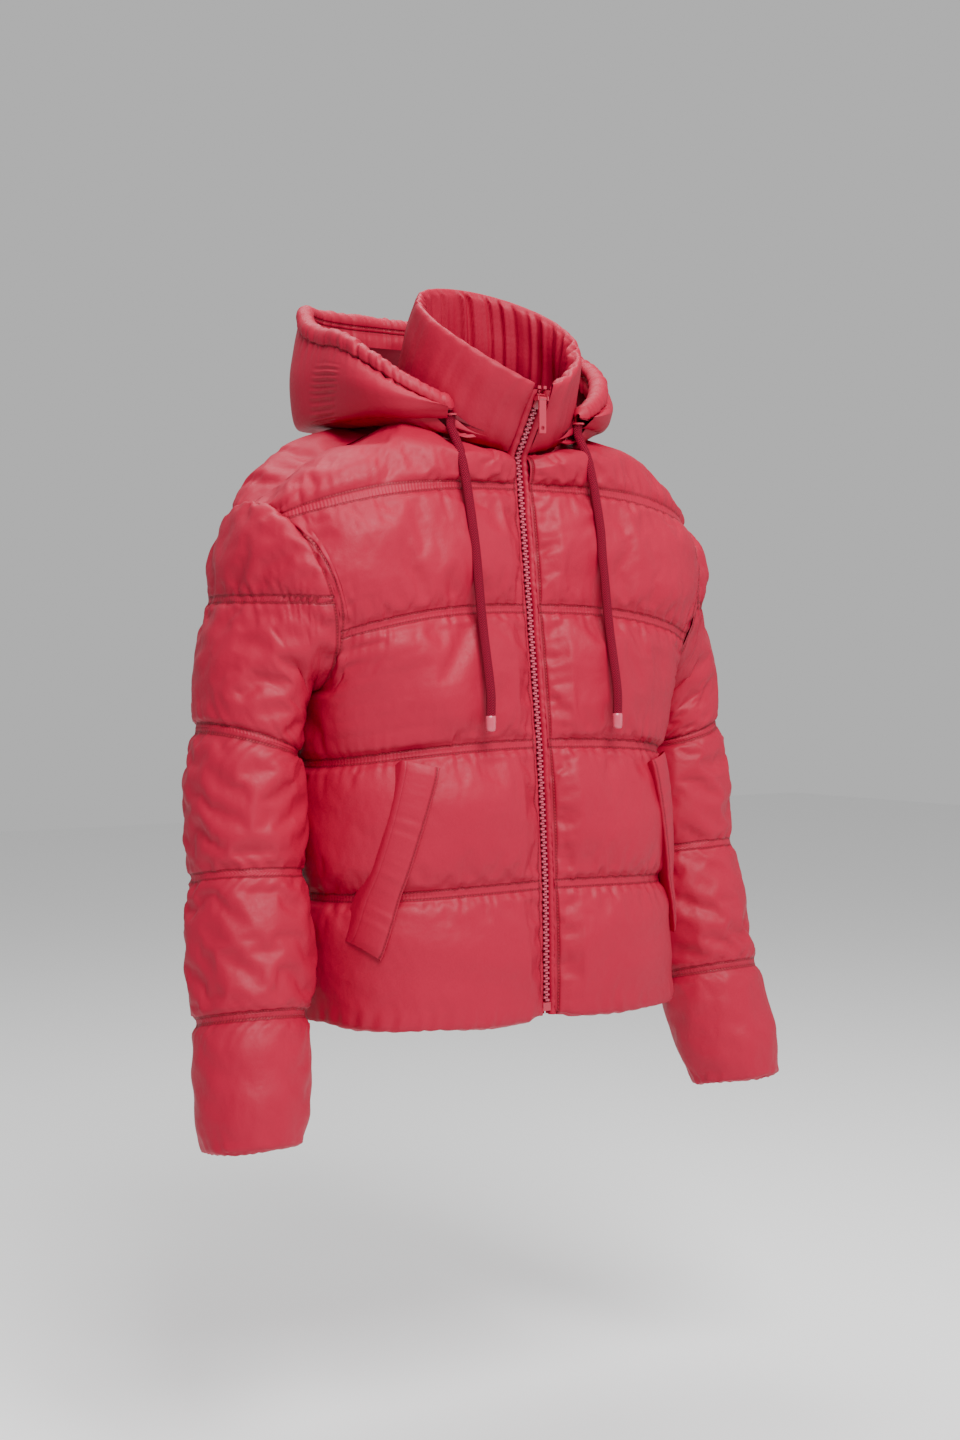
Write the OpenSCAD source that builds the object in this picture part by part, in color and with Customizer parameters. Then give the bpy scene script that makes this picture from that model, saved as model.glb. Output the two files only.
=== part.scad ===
// Quilted ski jacket with a fold-down hood, zipped to the top of its stand collar.
// It is drawn with z = 0 at the hem and y = 0 at the middle of the torso, the front facing -Y
// and the wearer's left at +X. at_loop() then moves every piece so that the origin is the
// centre of the hanger loop, which is what holds a jacket up.

/* [Body] */
// Height of the front neck seam above the hem
neck_h = 538; // [520:1:545]
// Half of the body's width from the hem to the underarm
half_w = 196; // [185:1:200]
// How far the quilt lines themselves stand out beside the zip
bulge = 12; // [8:1:14]
// How far the padding stands out between two quilt lines
puff = 12; // [6:1:14]
// Thickness of a padded panel
panel_t = 6; // [3:0.5:7]
// Thickness of one layer of lining
lining_t = 1.6; // [1:0.1:2]

/* [Sleeves] */
// Thickness of a padded sleeve's wall
sleeve_t = 6; // [3:0.5:7]
// Height of the elbow joint above the hem
elbow_z = 212; // [200:1:225]

/* [Collar and hood] */
// Thickness of the collar's padded outer shell
collar_t = 4; // [2:0.5:5]
// Half of the folded hood's width
hood_w = 156; // [148:1:160]
// Height of the hood's rim at the back
hood_rim_z = 690; // [670:1:700]
// Diameter of the rim's drawcord casing
casing_d = 13; // [12:0.5:15]

/* [Zip and cords] */
// Distance between two teeth on one side of the zip
tooth_pitch = 5.2; // [4.8:0.1:6]
// Width of one side of the zip tape
tape_w = 10; // [8:0.5:10]
// Width of a drawcord
cord_d = 9.5; // [6:0.5:10]
// Bore of the hanger loop
loop_d = 24; // [18:1:26]

/* [Hidden] */

// Centre of the hanger loop, which becomes the origin
loop_at = [0, 28, 590];
fabric_red = [0.77, 0.16, 0.23];
lining_red = [0.42, 0.05, 0.12];
cord_red = [0.6, 0.06, 0.18];
tip_pink = [0.88, 0.4, 0.47];
metal_red = [0.78, 0.27, 0.33];

// Body outline
power = 2.6;
underarm_z = 310;
front_yoke_z = 508;
back_yoke_z = 500;
yoke_side_z = 474;
quilt_z = [0, 127, 261, 390];
valley = [[0, 127], [127, 125], [261, 115], [390, 99], [neck_h, 80]];
back_depth = [[0, 98], [261, 102], [390, 100], [500, 80]];
back_share = 0.6;
arm_c = [224, 0, 397];
arm_up = [24, 5, 87];
arm_out = [11, 92];
neck_side = [86, 2, 572];
neck_back = [0, 52, 578];
center_gap = 11;

// Collar outline
collar_c = [-15, -50];
collar_a = [90, 79];
collar_b = [68, 75];
collar_base_z = [539, 576];
collar_top_z = [603, 716];
collar_open = 10.5;

// Hood outline
hood_y = 30;
hood_d = 124;
hood_power = 3;
hood_base_z = 578;
hood_front_z = 580;
hood_end = 22;

function lerp(a, b, t) = a + (b - a) * t;
function ease(t) = t * t * (3 - 2 * t);
function quilt_swell(z) =
    let (i = z < quilt_z[1] ? 0 : z < quilt_z[2] ? 1 : z < quilt_z[3] ? 2 : 3,
         low = quilt_z[i],
         high = i == 3 ? front_yoke_z : quilt_z[i + 1])
    sqrt(max(0, sin(180 * min(1, (z - low) / (high - low)))));

// ---- Solids between two offsets of a grid of points ----

function grid_normal(g, i, j, closed) =
    let (n = len(g) - 1,
         m = len(g[0]) - (closed ? 0 : 1),
         before = closed ? (j + m - 1) % m : max(j - 1, 0),
         after = closed ? (j + 1) % m : min(j + 1, m),
         c = cross(g[i][after] - g[i][before], g[min(i + 1, n)][j] - g[max(i - 1, 0)][j]))
    c / max(norm(c), 0.0001);
function offset_grid(g, d, closed = false) =
    [for (i = [0:len(g) - 1], j = [0:len(g[0]) - 1]) g[i][j] + d * grid_normal(g, i, j, closed)];

// A sheet of fabric or padding: the solid between offsets low and high of an open grid
module sheet(g, low, high) {
    n = len(g) - 1;
    m = len(g[0]) - 1;
    w = m + 1;
    q = (n + 1) * w;
    skin = [for (i = [0:n - 1], j = [0:m - 1])
        let (a = i * w + j, b = a + w, c = b + 1, d = a + 1)
        each [[a + q, c + q, d + q], [a + q, b + q, c + q], [a, c, b], [a, d, c]]];
    ends = [for (i = [0:n - 1])
        let (a = i * w, b = a + w, c = a + m, d = b + m)
        each [[b + q, a + q, b], [b, a + q, a], [c + q, d + q, c], [c, d + q, d]]];
    sides = [for (j = [0:m - 1])
        let (a = j, b = j + 1, c = n * w + j, d = c + 1)
        each [[a + q, b + q, a], [a, b + q, b], [d + q, c + q, d], [d, c + q, c]]];
    polyhedron(concat(offset_grid(g, low), offset_grid(g, high)), concat(skin, ends, sides));
}

// A tube whose rings are closed; it is open at both ends
module tube(g, low, high) {
    n = len(g) - 1;
    w = len(g[0]);
    q = (n + 1) * w;
    skin = [for (i = [0:n - 1], j = [0:w - 1])
        let (k = (j + 1) % w, a = i * w + j, b = a + w, c = (i + 1) * w + k, d = i * w + k)
        each [[a + q, c + q, d + q], [a + q, b + q, c + q], [a, c, b], [a, d, c]]];
    rims = [for (j = [0:w - 1])
        let (k = (j + 1) % w, c = n * w + j, d = n * w + k)
        each [[j + q, k + q, j], [j, k + q, k], [d + q, c + q, d], [d, c + q, c]]];
    polyhedron(
        concat(offset_grid(g, low, true), offset_grid(g, high, true)),
        concat(skin, rims)
    );
}

// A round cord along a route; the side vector keeps its rings from twisting
function route_step(p, i) = p[min(i + 1, len(p) - 1)] - p[max(i - 1, 0)];
function cord_rings(p, d, sides, side) =
    [for (i = [0:len(p) - 1])
        let (t = route_step(p, i) / norm(route_step(p, i)),
             n = cross(t, side) / norm(cross(t, side)),
             s = cross(n, t))
        [for (k = [0:sides - 1]) p[i] + d / 2 * (cos(360 * k / sides) * s + sin(360 * k / sides) * n)]];
module cord(p, d, sides, side = [1, 0, 0]) {
    g = cord_rings(p, d, sides, side);
    n = len(p) - 1;
    points = [for (ring = g) each ring];
    walls = [for (i = [0:n - 1], j = [0:sides - 1])
        let (k = (j + 1) % sides, a = i * sides + j, b = a + sides)
        each [[a, (i + 1) * sides + k, i * sides + k], [a, b, (i + 1) * sides + k]]];
    caps = [for (j = [1:sides - 2])
        each [[0, j, j + 1], [n * sides, n * sides + j + 1, n * sides + j]]];
    polyhedron(points, concat(walls, caps));
}

module at_loop() {
    translate(-loop_at) children();
}
module mirrored() {
    mirror([1, 0, 0]) children();
}

// ---- Torso ----

// Where the front or back (dir 1 or -1) meets the side seam or the armhole, at height z
function side_point(z, dir) =
    let (c = min(1, max(-1, (z - arm_c[2]) / arm_up[2])), s = sqrt(1 - c * c))
    z <= underarm_z
        ? [half_w + 4 * z / underarm_z, 0, z]
        : [arm_c[0] + arm_up[0] * c - arm_out[0] * s, arm_up[1] * c - arm_out[1] * s * dir, z];

// A point of a quarter of the torso; t is 0 at the centre line and 1 at the side
function torso_point(t, z_mid, z_side, depth, dir, gap, swell) =
    let (s = side_point(z_side, dir),
         a = 90 * t,
         x = gap + (s[0] - gap) * pow(sin(a), 2 / power),
         y = s[1] + dir * (-depth - dir * s[1]) * pow(cos(a), 2 / power),
         push = swell * sin(180 * min(1, t * 1.1 + 0.12)))
    [x, y - dir * push, lerp(z_mid, z_side, ease(t))];
function front_point(t, z, gap = center_gap) =
    torso_point(t, z, z * yoke_side_z / front_yoke_z, lookup(z, valley), 1, gap,
        bulge + puff * quilt_swell(z));
function back_point(t, z) =
    torso_point(abs(t), z, z * yoke_side_z / back_yoke_z, lookup(z, back_depth), -1, 0,
        back_share * (bulge + puff * quilt_swell(z)));

lining_low = 34;
front_rows = [0, lining_low, 63, 107, 127, 148, 194, 240, 261, 281, 325, 370, 390, 412, 450, 490, front_yoke_z];
back_rows = [0, lining_low, 63, 107, 127, 148, 194, 240, 261, 281, 325, 370, 390, 412, 450, back_yoke_z];
panel_cols = [0, 0.06, 0.2, 0.36, 0.52, 0.68, 0.84, 0.975];
front_grid = [for (z = front_rows) [for (t = panel_cols) front_point(t, z)]];
back_cols = [-0.98, -0.84, -0.68, -0.5, -0.33, -0.16, 0, 0.16, 0.33, 0.5, 0.68, 0.84, 0.98];
back_grid = [for (z = back_rows)
    [for (t = back_cols)
        let (p = back_point(t, z)) [t < 0 ? p[0] : -p[0], p[1], p[2]]]];

function above(g, low) = [for (row = g) if (row[0][2] > low) row];
front_lining_grid = above(front_grid, lining_low - 1);
back_lining_grid = above(back_grid, lining_low - 1);
module front_panel() {
    sheet(front_grid, -panel_t, 0);
}
module front_lining() {
    sheet(front_lining_grid, -panel_t - lining_t - 0.6, -panel_t - 0.6);
}

// The yoke between the top quilt line below and the neck and shoulder seams above
function shoulder_line(t, dir) =
    let (neck_t = 0.4,
         tip = arm_c + arm_up,
         front_neck = [center_gap, -lookup(neck_h, valley), neck_h],
         start = dir > 0 ? front_neck : neck_back,
         a = 90 * t / neck_t)
    t < neck_t
        ? [lerp(start[0], neck_side[0], sin(a)), lerp(neck_side[1], start[1], cos(a)),
           lerp(start[2], neck_side[2], 1 - cos(a))]
        : lerp(neck_side, tip, (t - neck_t) / (1 - neck_t)) + [0, 0, 6 * sin(180 * (t - neck_t))];
function yoke_low(t, dir) =
    dir > 0 ? front_point(t, front_yoke_z) : back_point(t, back_yoke_z);
function yoke_point(t, v, dir) =
    let (p = lerp(yoke_low(t, dir), shoulder_line(t, dir), v),
         bow = sin(180 * v) * (8 + 14 * sin(180 * t)))
    p + bow * [0, -0.7 * dir, 0.7];
yoke_cols = [0, 0.1, 0.2, 0.3, 0.4, 0.55, 0.7, 0.85, 0.97];
yoke_rows = [0.06, 0.25, 0.5, 0.75, 0.91];
front_yoke_grid = [for (v = yoke_rows) [for (t = yoke_cols) yoke_point(t, v, 1)]];
back_yoke_cols = [for (k = [8:-1:1]) -yoke_cols[k], each yoke_cols];
back_yoke_grid = [for (v = yoke_rows)
    [for (t = back_yoke_cols)
        let (p = yoke_point(abs(t), v, -1)) [t < 0 ? abs(p[0]) : -abs(p[0]), p[1], p[2]]]];

module back_panel() {
    color(fabric_red) at_loop() sheet(back_grid, -panel_t, 0);
}
module back_lining() {
    color(lining_red) at_loop() sheet(back_lining_grid, -panel_t - lining_t - 0.6, -panel_t - 0.6);
}
module back_yoke() {
    color(fabric_red) at_loop() sheet(back_yoke_grid, -panel_t, 0);
}
module left_front_panel() {
    color(fabric_red) at_loop() front_panel();
}
module right_front_panel() {
    color(fabric_red) at_loop() mirrored() front_panel();
}
module left_front_yoke() {
    color(fabric_red) at_loop() sheet(front_yoke_grid, -panel_t, 0);
}
module right_front_yoke() {
    color(fabric_red) at_loop() mirrored() sheet(front_yoke_grid, -panel_t, 0);
}
module left_front_lining() {
    color(lining_red) at_loop() front_lining();
}
module right_front_lining() {
    color(lining_red) at_loop() mirrored() front_lining();
}

// The turned-in band inside the hem, from one side of the zip round the back to the other
hem_rows = [0.12, 0.9];
hem_inset = panel_t + 1.4;
hem_last = len(panel_cols) - 1;
function hem_ring(row) = concat(front_grid[row], back_grid[row],
    [for (k = [hem_last:-1:0]) let (p = front_grid[row][k]) [-p[0], p[1], p[2]]]);
hem_grid = [for (v = hem_rows)
    [for (k = [0:len(hem_ring(0)) - 1]) lerp(hem_ring(0)[k], hem_ring(1)[k], v)]];
module hem_facing() {
    color(lining_red) at_loop() sheet(hem_grid, -hem_inset - 2, -hem_inset);
}

// ---- Pockets ----

welt_w = 29;
welt_top = [141, 246];
welt_low = [182, 75];
function front_y(x, z) =
    let (s = side_point(z * yoke_side_z / front_yoke_z, 1),
         t = asin(pow((x - center_gap) / (s[0] - center_gap), power / 2)) / 90)
    front_point(t, z)[1];
function pocket_point(u, v, w) =
    let (x = lerp(welt_low[0], welt_top[0], v) + (u - 0.5) * w,
         z = lerp(welt_low[1], welt_top[1], v) + (u - 0.5) * w * 0.24)
    [x, front_y(min(x, half_w - 1), z) - 1, z];
welt_grid = [for (v = [0:0.125:1]) [for (u = [0:0.5:1]) pocket_point(u, v, welt_w)]];
bag_grid = [for (v = [0:0.25:1])
    [for (u = [0:0.25:1])
        [lerp(68, 158 - 14 * v, u), -66 - 12 * v + 22 * u * u, lerp(46, 236, v)]]];
module welt() {
    sheet(welt_grid, 2.4, 6);
}
module pocket_bag() {
    sheet(bag_grid, 0, 4);
}
module left_pocket_welt() {
    color(fabric_red) at_loop() welt();
}
module right_pocket_welt() {
    color(fabric_red) at_loop() mirrored() welt();
}
module left_pocket_bag() {
    color(lining_red) at_loop() pocket_bag();
}
module right_pocket_bag() {
    color(lining_red) at_loop() mirrored() pocket_bag();
}

// ---- Zip ----

zip_low = 6;
zip_knots = [
    [16, 127], [63, 126.5], [127, 125], [194, 120.5], [261, 115], [325, 107], [390, 99],
    [450, 91.5], [500, 85], [neck_h, 80], [600, 119]
];
function zip_point(z) = [0, -lookup(z, zip_knots), z];
tape_rows = [for (k = zip_knots) k[0]];
tape_back = 2.3;
tape_t = 0.8;
tape_gap = 0.6;
tooth = [3.6, 1.8, 2.2];
teeth_end = 592;
zip_rise = atan2(600 - neck_h, 119 - 80);
slider_z = 590;

module zip_tape() {
    sheet([for (z = tape_rows) [for (x = [tape_gap, tape_w])
        zip_point(z) + [x, tape_back, 0]]], 0, tape_t);
}
module zip_teeth(shift) {
    count = floor((teeth_end - 16 - shift) / tooth_pitch);
    for (k = [0:count]) {
        z = 16 + shift + k * tooth_pitch;
        translate(zip_point(z) + [0.55, -tooth[1], 0]) cube(tooth);
    }
}
module left_zip_tape() {
    color(lining_red) at_loop() zip_tape();
}
module right_zip_tape() {
    color(lining_red) at_loop() mirrored() zip_tape();
}
module left_zip_teeth() {
    color(metal_red) at_loop() zip_teeth(0);
}
module right_zip_teeth() {
    color(metal_red) at_loop() mirrored() zip_teeth(tooth_pitch / 2);
}
module zip_box() {
    color(metal_red) at_loop() translate(zip_point(zip_low) + [-5, -3, 0]) difference() {
        cube([9, 5.5, 8]);
        translate([6.2, 1.4, -1]) cube([2, 2, 10]);
    }
}
module zip_pin() {
    color(metal_red) at_loop() translate(zip_point(zip_low) + [1.5, -1.3, 1]) cube([1.4, 1.4, 8.5]);
}
module zip_top_stops() {
    color(metal_red) at_loop() for (x = [-5, 1.6])
        translate(zip_point(599) + [x, -2.6, 0]) cube([3.4, 2, 3]);
}
module wind_flap() {
    color(lining_red) at_loop() sheet([for (z = tape_rows) [for (x = [-6, 9, 24])
        [x, zip_point(z)[1] + (z > neck_h ? 15 : 17), z]]], 0, 2);
}

// Slider: two plates joined by a wedge, with the teeth between them, and a lug for the pull
slider_l = 14;
slider_w = 9.5;
channel = 5.2;
plate_t = 1.6;
wedge_w = 0.8;
lug_d = 4;
pull_l = 33;
pull_w = 8;
pull_t = 1.8;
hinge_d = 1.6;
knuckle_room = 1.3;
slider_at = zip_point(slider_z);
lug_at = slider_at + [0, -8, 0];
module zip_slider() {
    color(metal_red) at_loop() {
        translate(slider_at + [0, 0.2, 0]) rotate([90 - zip_rise, 0, 0]) {
            for (y = [-channel / 2 - plate_t, channel / 2])
                translate([-slider_w / 2, y, -slider_l / 2]) cube([slider_w, plate_t, slider_l]);
            translate([-wedge_w / 2, -channel / 2 - 0.2, slider_l / 2 - 3])
                cube([wedge_w, channel + 0.4, 3]);
        }
        for (x = [-1, 1])
            translate(lug_at + [x * 5.6 - 0.8, -lug_d / 2, -lug_d / 2]) cube([1.6, lug_d + 2.4, lug_d]);
        translate(lug_at + [-6.4, 2, -lug_d / 2]) cube([12.8, 2, lug_d]);
        translate(lug_at - [6.4, 0, 0]) rotate([0, 90, 0]) cylinder(d = hinge_d, h = 12.8, $fn = 32);
    }
}
pull_bore = 4;
pull_bore_at = lug_at - [0, 0, pull_l - 5];
module zip_pull() {
    color(metal_red) at_loop() difference() {
        union() {
            translate(lug_at - [pull_w / 2, pull_t / 2, pull_l])
                cube([pull_w, pull_t, pull_l - knuckle_room]);
            translate(lug_at - [pull_w / 2, 0, 0]) rotate([0, 90, 0])
                cylinder(d = 3.6, h = pull_w, $fn = 32);
        }
        translate(lug_at - [pull_w, 0, 0]) rotate([0, 90, 0])
            cylinder(d = hinge_d + 0.3, h = 2 * pull_w, $fn = 32);
        translate(pull_bore_at + [0, 5, 0]) rotate([90, 0, 0]) cylinder(d = pull_bore, h = 10, $fn = 32);
    }
}

// ---- Collar ----

// a runs from 0 at the centre front, round the left side, to 360
function collar_point(a, v) =
    let (back = (1 - cos(a)) / 2,
         low = lerp(collar_base_z[0], collar_base_z[1], sqrt(back)),
         high = lerp(collar_top_z[0], collar_top_z[1], pow(back, 0.7)),
         c = lerp(collar_c[0], collar_c[1], v),
         ra = lerp(collar_a[0], collar_a[1], v),
         rb = lerp(collar_b[0], collar_b[1], v))
    [ra * sin(a), c - rb * cos(a), lerp(low, high, v)];
collar_grid = [for (v = [0.02, 0.35, 0.7, 1])
    [for (k = [0:24]) collar_point(lerp(collar_open, 360 - collar_open, k / 24), v)]];
module collar_shell() {
    color(fabric_red) at_loop() sheet(collar_grid, 0, collar_t);
}
module collar_facing() {
    color(lining_red) at_loop() sheet(collar_grid, -2.6, -0.6);
}
module hanger_loop() {
    wall = 1.4;
    width = 6;
    color(lining_red) at_loop() translate(loop_at) {
        rotate([0, 90, 0]) translate([0, 0, -width / 2]) difference() {
            cylinder(d = loop_d + 2 * wall, h = width, $fn = 64);
            translate([0, 0, -1]) cylinder(d = loop_d, h = width + 2, $fn = 64);
        }
        translate([-width / 2, loop_d / 2 + wall - 0.2, -5]) cube([width, 2, 10]);
    }
}

// ---- Hood ----

// a runs from hood_end at the wearer's left, round the back, to 360 - hood_end
function hood_plan(a, inset) =
    let (w = hood_w - inset,
         d = hood_d - inset,
         sx = pow(abs(sin(a)), 2 / hood_power),
         sy = pow(abs(cos(a)), 2 / hood_power))
    [w * sx * sign(sin(a)), hood_y - d * sy * sign(cos(a))];
function rim_z(a) =
    let (back = (cos(hood_end) - cos(a)) / (cos(hood_end) + 1))
    lerp(hood_front_z + 2, hood_rim_z, min(1, pow(back * 1.25, 0.8)));
function hood_point(a, v) =
    let (p = hood_plan(a, 8 * v - 4 * sin(180 * v)), low = lerp(hood_base_z - 6, hood_base_z, v))
    [p[0], p[1], lerp(low, rim_z(a) - casing_d / 2 - 2.4, v)];
hood_rows = [0, 0.25, 0.5, 0.75, 1];
side_angles = [for (k = [0:9]) lerp(hood_end + 6, 139, k / 9)];
back_angles = [for (k = [0:10]) lerp(141, 219, k / 10)];
hood_side_grid = [for (v = hood_rows) [for (a = side_angles) hood_point(a, v)]];
hood_back_grid = [for (v = hood_rows) [for (a = back_angles) hood_point(a, v)]];
module hood_left_panel() {
    color(fabric_red) at_loop() sheet(hood_side_grid, -3, 0);
}
module hood_right_panel() {
    color(fabric_red) at_loop() mirrored() sheet(hood_side_grid, -3, 0);
}
module hood_centre_panel() {
    color(fabric_red) at_loop() sheet(hood_back_grid, -3, 0);
}
lining_angles = [for (k = [0:28]) lerp(hood_end + 8, 352 - hood_end, k / 28)];
module hood_lining() {
    color(lining_red) at_loop()
        sheet([for (v = hood_rows) [for (a = lining_angles) hood_point(a, v)]], -6.4, -4.8);
}
casing_angles = [for (k = [0:36]) lerp(hood_end, 360 - hood_end, k / 36)];
casing_route = [for (a = casing_angles) let (p = hood_plan(a, 10)) [p[0], p[1], rim_z(a)]];
casing_rings = cord_rings(casing_route, casing_d, 10, [0, 0, 1]);
module hood_casing() {
    color(fabric_red) at_loop() tube(casing_rings, -1.4, 0);
}
module hood_drawcord() {
    color(cord_red) at_loop()
        cord([for (k = [1:35]) casing_route[k]], cord_d * 0.6, 8, [0, 0, 1]);
}
eyelet_t = 1.6;
module eyelet() {
    translate(cord_route[0]) difference() {
        cylinder(d = 12, h = eyelet_t, $fn = 32);
        translate([0, 0, -1]) cylinder(d = 6, h = eyelet_t + 2, $fn = 32);
    }
}
module left_eyelet() {
    color(metal_red) at_loop() eyelet();
}
module right_eyelet() {
    color(metal_red) at_loop() mirrored() eyelet();
}

// The skirt that joins the hood's lower edge to the neck seam
function skirt_point(a, v) =
    let (p = hood_plan(a, 4), q = collar_point(a, 0))
    [lerp(p[0], q[0] * 1.14, v), lerp(p[1], q[1] * 1.14 + 4, v), hood_base_z - 9 + 13 * v];
skirt_angles = [for (k = [0:24]) lerp(62, 298, k / 24)];
module hood_base() {
    color(fabric_red) at_loop()
        sheet([for (v = [0, 0.5, 1]) [for (a = skirt_angles) skirt_point(a, v)]], -1, 1);
}

// ---- Drawcord ends ----

cord_route = [
    [76, -78, 573], [76, -78, 562], [76, -92, 541], [76, -101, 517], [76, -108, 492],
    [76, -114, 467], [75, -118, 442], [75, -122, 417], [75, -126, 390], [75, -131, 363],
    [75, -137, 336], [75, -142, 310], [75, -142, 290]
];
tip_l = 15;
module cord_tip() {
    end = cord_route[len(cord_route) - 1];
    translate([end[0], end[1], end[2] - tip_l]) cylinder(d = cord_d + 1, h = tip_l, $fn = 32);
}
module left_cord() {
    color(cord_red) at_loop() cord(cord_route, cord_d, 10);
}
module right_cord() {
    color(cord_red) at_loop() mirrored() cord(cord_route, cord_d, 10);
}
module left_cord_tip() {
    color(tip_pink) at_loop() cord_tip();
}
module right_cord_tip() {
    color(tip_pink) at_loop() mirrored() cord_tip();
}

// ---- Sleeves ----

// Each ring: x and z of its inner point, x and z of its outer point, middle y, half depth
upper_rings = [
    [206, 310, 251, 485, 4, 91], [207, 299, 273, 452, 3, 87], [208, 287, 287, 402, 2, 78],
    [209, 274, 299, 345, 0, 70], [210, 257, 305, 290, -2, 63], [210, 235, 308, 250, -5, 59],
    [210, elbow_z + 0.5, 311, elbow_z + 0.5, -8, 56]
];
forearm_rings = [
    [210, elbow_z - 0.5, 311, elbow_z - 0.5, -8, 55], [211, 146, 315, 150, -15, 54],
    [212, 80, 321, 84, -28, 53], [220, 20, 328, 24, -42, 53], [230, -40, 333, -37, -58, 51],
    [241, -97, 338, -94, -73, 49]
];
ring_sides = 16;
function sleeve_ring(r, lean) =
    let (inner = [r[0], r[4], r[1]],
         outer = [r[2], r[4], r[3]],
         up = (outer - inner) / 2,
         front = [0, -r[5] * cos(lean), r[5] * sin(lean)])
    [for (k = [0:ring_sides - 1])
        let (a = 360 * k / ring_sides) (inner + outer) / 2 + cos(a) * up + sin(a) * front];
lean_end = 12;
upper_grid = [for (r = upper_rings) sleeve_ring(r, 0)];
forearm_grid = [for (k = [0:len(forearm_rings) - 1])
    sleeve_ring(forearm_rings[k], min(lean_end, 5 * k))];
cuff_grid = [for (v = [0.55, 0.95])
    [for (j = [0:ring_sides - 1])
        lerp(forearm_grid[4][j], forearm_grid[5][j], v)]];

module upper_sleeve() {
    tube(upper_grid, -sleeve_t, 0);
}
module upper_lining() {
    tube(upper_grid, -sleeve_t - 2.2, -sleeve_t - 0.6);
}
module forearm_sleeve() {
    tube(forearm_grid, -sleeve_t, 0);
}
module forearm_lining() {
    tube(forearm_grid, -sleeve_t - 2.2, -sleeve_t - 0.6);
}
module cuff_binding() {
    tube(cuff_grid, -sleeve_t - 4.6, -sleeve_t - 2.8);
}
module left_upper_sleeve() {
    color(fabric_red) at_loop() upper_sleeve();
}
module right_upper_sleeve() {
    color(fabric_red) at_loop() mirrored() upper_sleeve();
}
module left_upper_lining() {
    color(lining_red) at_loop() upper_lining();
}
module right_upper_lining() {
    color(lining_red) at_loop() mirrored() upper_lining();
}
module left_forearm_sleeve() {
    color(fabric_red) at_loop() forearm_sleeve();
}
module right_forearm_sleeve() {
    color(fabric_red) at_loop() mirrored() forearm_sleeve();
}
module left_forearm_lining() {
    color(lining_red) at_loop() forearm_lining();
}
module right_forearm_lining() {
    color(lining_red) at_loop() mirrored() forearm_lining();
}
module left_cuff_binding() {
    color(lining_red) at_loop() cuff_binding();
}
module right_cuff_binding() {
    color(lining_red) at_loop() mirrored() cuff_binding();
}

back_panel();
back_yoke();
right_front_panel();
left_front_panel();
right_front_yoke();
left_front_yoke();
back_lining();
right_front_lining();
left_front_lining();
hem_facing();
collar_shell();
collar_facing();
hood_base();
hanger_loop();
right_zip_tape();
left_zip_tape();
right_zip_teeth();
left_zip_teeth();
zip_box();
zip_pin();
zip_top_stops();
wind_flap();
right_pocket_welt();
left_pocket_welt();
right_pocket_bag();
left_pocket_bag();
zip_slider();
zip_pull();
hood_right_panel();
hood_left_panel();
hood_centre_panel();
hood_lining();
hood_casing();
hood_drawcord();
right_eyelet();
left_eyelet();
right_cord();
right_cord_tip();
left_cord();
left_cord_tip();
right_upper_sleeve();
right_upper_lining();
right_forearm_sleeve();
right_forearm_lining();
right_cuff_binding();
left_upper_sleeve();
left_upper_lining();
left_forearm_sleeve();
left_forearm_lining();
left_cuff_binding();
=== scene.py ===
import math

import bpy
import numpy as np
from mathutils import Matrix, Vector


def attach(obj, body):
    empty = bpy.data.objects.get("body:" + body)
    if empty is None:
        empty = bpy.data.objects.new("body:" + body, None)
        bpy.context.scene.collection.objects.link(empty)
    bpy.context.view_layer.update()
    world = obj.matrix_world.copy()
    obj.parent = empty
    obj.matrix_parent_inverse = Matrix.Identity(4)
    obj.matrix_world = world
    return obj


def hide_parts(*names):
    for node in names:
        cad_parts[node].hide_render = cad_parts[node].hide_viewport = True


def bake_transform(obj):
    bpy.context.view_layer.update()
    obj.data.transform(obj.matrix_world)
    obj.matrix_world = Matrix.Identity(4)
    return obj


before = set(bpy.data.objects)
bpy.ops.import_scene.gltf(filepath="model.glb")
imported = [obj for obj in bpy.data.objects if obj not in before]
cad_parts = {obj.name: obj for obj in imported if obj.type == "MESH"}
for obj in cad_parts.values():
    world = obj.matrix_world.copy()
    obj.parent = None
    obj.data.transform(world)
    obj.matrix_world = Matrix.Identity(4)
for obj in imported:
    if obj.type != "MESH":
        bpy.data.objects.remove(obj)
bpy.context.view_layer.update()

# Lengths are in millimetres from the hem and the torso's axis until row() puts them in the frame.
LOOP = np.array([0.0, 28.0, 590.0])
QUILT_Z = [0.0, 127.0, 261.0, 390.0]
FRONT_YOKE_Z, BACK_YOKE_Z, YOKE_SIDE_Z = 508.0, 500.0, 474.0
UNDERARM_Z, NECK_Z = 310.0, 538.0
HALF_W, POWER, BULGE, HEM_Z = 196.0, 2.6, 12.0, 7.0
CORD_WIDTH = 9.5
# How far the stitch rows lie from a quilt line and from a seam, and a distance beyond any row
STRIP, SEAM, UNSEWN = 3.5, 2.2, 40
TORSO_PUFF, SLEEVE_PUFF = 11.5, 6.5
PUCKER, BENDING, CAP = 1.7, 1.6, 6.0


def row(p):
    """Millimetres on the garment to metres in the row frame."""
    return (np.asarray(p, float) - LOOP) / 1000


# ---- Camera, light and floor ----

AZIMUTH, PITCH, DISTANCE = math.radians(-35), math.radians(1.8), 2200.0
CAMERA_HEIGHT, AIM_SIDE, LENS = 350.0, 10.0, 55.0
WORLD_STRENGTH = 0.55
FLOOR_Z, FLOOR_SIZE, FLOOR_TONE = -420.0, 14.0, 0.9
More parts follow.
